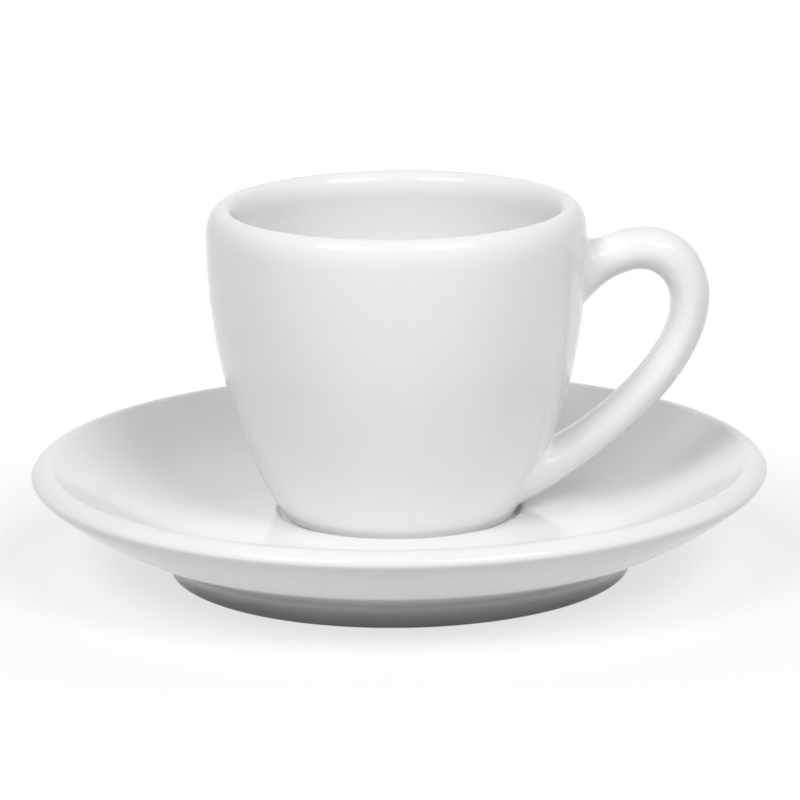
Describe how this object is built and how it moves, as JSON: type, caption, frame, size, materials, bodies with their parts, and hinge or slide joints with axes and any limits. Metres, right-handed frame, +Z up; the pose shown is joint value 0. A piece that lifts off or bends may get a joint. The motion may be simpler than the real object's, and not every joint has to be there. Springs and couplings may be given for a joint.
{
  "type": "espresso cup with saucer",
  "caption": "Small thick-walled porcelain espresso cup with an ear handle, standing in the shallow well of its round dished saucer and free to lift off it.",
  "frame": {"origin": "on the table, under the common axis of cup and saucer", "axes": "+Z up along the axis of cup and saucer, +X towards the handle"},
  "size_m": [0.12, 0.12, 0.0602],
  "materials": {
    "saucer_glaze": "clear gloss glaze over white porcelain, bare on the foot ring",
    "cup_glaze": "clear gloss glaze over white porcelain, bare on the foot ring",
    "handle_glaze": "clear gloss glaze over white porcelain",
    "joint_glaze": "fired slip under the same clear gloss glaze"
  },
  "bodies": {
    "saucer_body": {"saucer": "saucer_glaze"},
    "cup_body": {"cup_bowl": "cup_glaze", "cup_handle": "handle_glaze", "upper_slip_joint": "joint_glaze", "lower_slip_joint": "joint_glaze"}
  },
  "joints": [
    {"name": "cup_lift", "type": "slide", "parent": "saucer_body", "child": "cup_body", "axis": [0, 0, 1], "range_m": [0, 0.08]}
  ]
}
